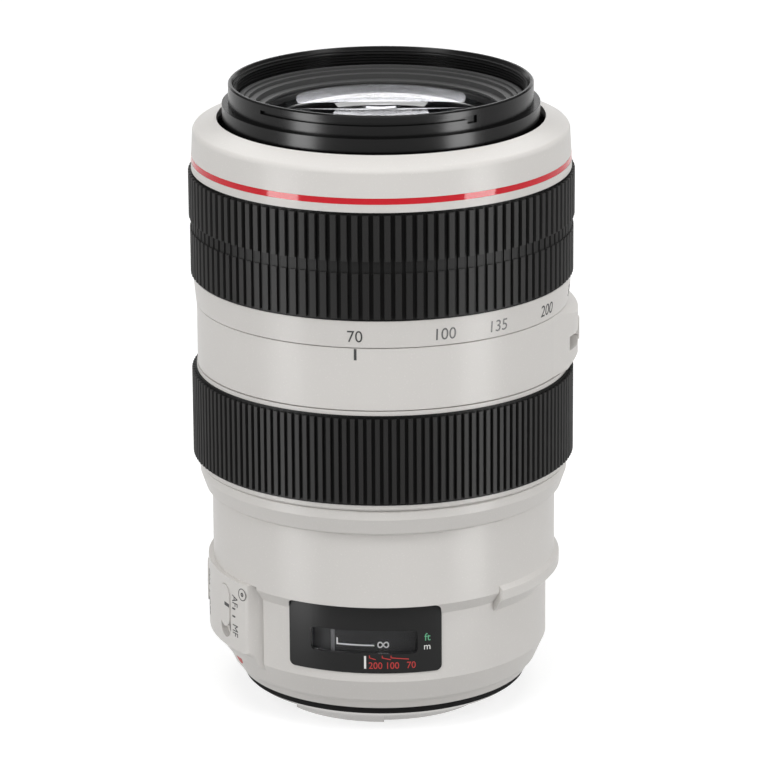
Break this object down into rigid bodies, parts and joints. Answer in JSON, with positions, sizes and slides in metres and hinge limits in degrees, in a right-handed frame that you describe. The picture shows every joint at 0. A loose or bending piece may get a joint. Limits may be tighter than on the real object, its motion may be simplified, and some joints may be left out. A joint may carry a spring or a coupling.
{
  "type": "camera zoom lens",
  "caption": "Extending telephoto zoom lens with ribbed zoom and focus rings, distance window, switch panel, zoom lock, cam barrels, stabiliser, iris and bayonet mount.",
  "frame": {"origin": "centre of the bayonet mount's flange face, on the optical axis", "axes": "+Z along the optical axis from the mount to the front element; -Y is the top of the lens, where the distance window is; +X is the side with the zoom lock"},
  "size_m": [0.0901, 0.0892, 0.1473],
  "materials": {
    "light_paint": "satin, fine texture",
    "dark_paint": "satin",
    "red_paint": "gloss",
    "black_plastic": "matte",
    "light_plastic": "satin",
    "grip_rubber": "matte",
    "seal_rubber": "matte",
    "mount_steel": "polished",
    "screw_steel": "brushed",
    "contact_gold": "polished",
    "black_aluminium": "anodised",
    "silver_aluminium": "satin",
    "stator_metal": "satin",
    "brass_roller": "satin",
    "nylon": "matte",
    "board_green": "gloss",
    "blade_black": "matte",
    "lens_glass": "coated",
    "window_clear": "clear"
  },
  "bodies": {
    "barrel": {"bayonet_mount": "mount_steel", "mount_gasket": "seal_rubber", "mount_screws": "screw_steel", "contact_block": "black_plastic", "contact_pins": "contact_gold", "rear_cover": "light_paint", "rear_barrel": "light_paint", "window_bezel": "dark_paint", "window_glass": "window_clear", "switch_panel": "light_paint", "index_barrel": "light_paint", "lock_panel": "light_paint", "guide_barrel": "black_aluminium", "inner_sleeve": "black_plastic", "main_board": "board_green", "rear_cell": "black_aluminium", "rear_element": "lens_glass", "stabilizer_base": "black_plastic", "iris_base": "black_plastic", "iris_motor": "silver_aluminium", "motor_stator": "stator_metal"},
    "zoom": {"zoom_ring": "light_paint", "front_ring": "light_paint", "accent_ring": "red_paint", "zoom_grip": "grip_rubber", "cam_barrel": "black_aluminium", "zoom_key": "screw_steel"},
    "front_group": {"front_barrel": "dark_paint", "filter_ring": "black_plastic", "front_retainer": "black_plastic", "front_element": "lens_glass", "second_element": "lens_glass", "front_cell": "black_plastic", "front_rollers": "brass_roller"},
    "variator": {"variator_cell": "black_plastic", "variator_element": "lens_glass", "variator_rollers": "brass_roller"},
    "focus_ring": {"focus_ring": "light_paint", "focus_grip": "grip_rubber"},
    "focus_drive": {"distance_drum": "black_plastic", "motor_rotor": "silver_aluminium", "focus_drive_ring": "nylon"},
    "focus_group": {"focus_cell": "black_plastic", "focus_element": "lens_glass"},
    "lock_lever": {"lock_lever": "light_plastic"},
    "focus_mode_switch": {"focus_mode_switch": "light_plastic"},
    "stabilizer_switch": {"stabilizer_switch": "light_plastic"},
    "stabilizer_mode_switch": {"stabilizer_mode_switch": "light_plastic"},
    "stabilizer_guide": {"stabilizer_guide": "silver_aluminium"},
    "stabilizer_holder": {"stabilizer_holder": "black_plastic", "stabilizer_element": "lens_glass"},
    "iris_drive": {"iris_drive_ring": "black_plastic"},
    "iris_blade_1": {"iris_blade_1": "blade_black"},
    "iris_blade_2": {"iris_blade_2": "blade_black"},
    "iris_blade_3": {"iris_blade_3": "blade_black"},
    "iris_blade_4": {"iris_blade_4": "blade_black"},
    "iris_blade_5": {"iris_blade_5": "blade_black"},
    "iris_blade_6": {"iris_blade_6": "blade_black"},
    "iris_blade_7": {"iris_blade_7": "blade_black"},
    "iris_blade_8": {"iris_blade_8": "blade_black"}
  },
  "joints": [
    {"name": "zoom_turn", "type": "hinge", "parent": "barrel", "child": "zoom", "pos_m": [0, 0, 0.1], "axis": [0, 0, -1], "range_deg": [0, 92]},
    {"name": "front_extension", "type": "slide", "parent": "barrel", "child": "front_group", "axis": [0, 0, 1], "range_m": [0, 0.055]},
    {"name": "variator_travel", "type": "slide", "parent": "barrel", "child": "variator", "axis": [0, 0, 1], "range_m": [0, 0.012]},
    {"name": "focus_turn", "type": "hinge", "parent": "barrel", "child": "focus_ring", "pos_m": [0, 0, 0.065], "axis": [0, 0, -1], "range_deg": [0, 140]},
    {"name": "focus_drive_turn", "type": "hinge", "parent": "barrel", "child": "focus_drive", "pos_m": [0, 0, 0.036], "axis": [0, 0, -1], "range_deg": [0, 70]},
    {"name": "focus_travel", "type": "slide", "parent": "barrel", "child": "focus_group", "axis": [0, 0, 1], "range_m": [0, 0.004]},
    {"name": "lock_slide", "type": "hinge", "parent": "barrel", "child": "lock_lever", "pos_m": [0, 0, 0.0834], "axis": [0, 0, -1], "range_deg": [0, 8]},
    {"name": "focus_mode_switch_slide", "type": "slide", "parent": "barrel", "child": "focus_mode_switch", "axis": [0, 0, -1], "range_m": [0, 0.0026]},
    {"name": "stabilizer_switch_slide", "type": "slide", "parent": "barrel", "child": "stabilizer_switch", "axis": [0, 0, -1], "range_m": [0, 0.0026]},
    {"name": "stabilizer_mode_switch_slide", "type": "slide", "parent": "barrel", "child": "stabilizer_mode_switch", "axis": [0, 0, -1], "range_m": [0, 0.0026]},
    {"name": "stabilizer_x", "type": "slide", "parent": "barrel", "child": "stabilizer_guide", "axis": [1, 0, 0], "range_m": [-0.0008, 0.0008]},
    {"name": "stabilizer_y", "type": "slide", "parent": "stabilizer_guide", "child": "stabilizer_holder", "axis": [0, 1, 0], "range_m": [-0.0008, 0.0008]},
    {"name": "iris_ring_turn", "type": "hinge", "parent": "barrel", "child": "iris_drive", "pos_m": [0, 0, 0.0266], "axis": [0, 0, 1], "range_deg": [0, 20]},
    {"name": "iris_blade_1_turn", "type": "hinge", "parent": "barrel", "child": "iris_blade_1", "pos_m": [0.018, 0, 0.025], "axis": [0, 0, 1], "range_deg": [0, 34]},
    {"name": "iris_blade_2_turn", "type": "hinge", "parent": "barrel", "child": "iris_blade_2", "pos_m": [0.01273, 0.01273, 0.025], "axis": [0, 0, 1], "range_deg": [0, 34]},
    {"name": "iris_blade_3_turn", "type": "hinge", "parent": "barrel", "child": "iris_blade_3", "pos_m": [0, 0.018, 0.025], "axis": [0, 0, 1], "range_deg": [0, 34]},
    {"name": "iris_blade_4_turn", "type": "hinge", "parent": "barrel", "child": "iris_blade_4", "pos_m": [-0.01273, 0.01273, 0.025], "axis": [0, 0, 1], "range_deg": [0, 34]},
    {"name": "iris_blade_5_turn", "type": "hinge", "parent": "barrel", "child": "iris_blade_5", "pos_m": [-0.018, 0, 0.025], "axis": [0, 0, 1], "range_deg": [0, 34]},
    {"name": "iris_blade_6_turn", "type": "hinge", "parent": "barrel", "child": "iris_blade_6", "pos_m": [-0.01273, -0.01273, 0.025], "axis": [0, 0, 1], "range_deg": [0, 34]},
    {"name": "iris_blade_7_turn", "type": "hinge", "parent": "barrel", "child": "iris_blade_7", "pos_m": [0, -0.018, 0.025], "axis": [0, 0, 1], "range_deg": [0, 34]},
    {"name": "iris_blade_8_turn", "type": "hinge", "parent": "barrel", "child": "iris_blade_8", "pos_m": [0.01273, -0.01273, 0.025], "axis": [0, 0, 1], "range_deg": [0, 34]}
  ],
  "couplings": [
    {"joint": "front_extension", "follows": "zoom_turn", "m_per_rad": 0.034253},
    {"joint": "variator_travel", "follows": "zoom_turn", "m_per_rad": 0.0074733},
    {"joint": "focus_drive_turn", "follows": "focus_turn", "ratio": 0.5},
    {"joint": "focus_travel", "follows": "focus_turn", "m_per_rad": 0.001637},
    {"joint": "iris_blade_1_turn", "follows": "iris_ring_turn", "ratio": 1.7},
    {"joint": "iris_blade_2_turn", "follows": "iris_ring_turn", "ratio": 1.7},
    {"joint": "iris_blade_3_turn", "follows": "iris_ring_turn", "ratio": 1.7},
    {"joint": "iris_blade_4_turn", "follows": "iris_ring_turn", "ratio": 1.7},
    {"joint": "iris_blade_5_turn", "follows": "iris_ring_turn", "ratio": 1.7},
    {"joint": "iris_blade_6_turn", "follows": "iris_ring_turn", "ratio": 1.7},
    {"joint": "iris_blade_7_turn", "follows": "iris_ring_turn", "ratio": 1.7},
    {"joint": "iris_blade_8_turn", "follows": "iris_ring_turn", "ratio": 1.7}
  ]
}
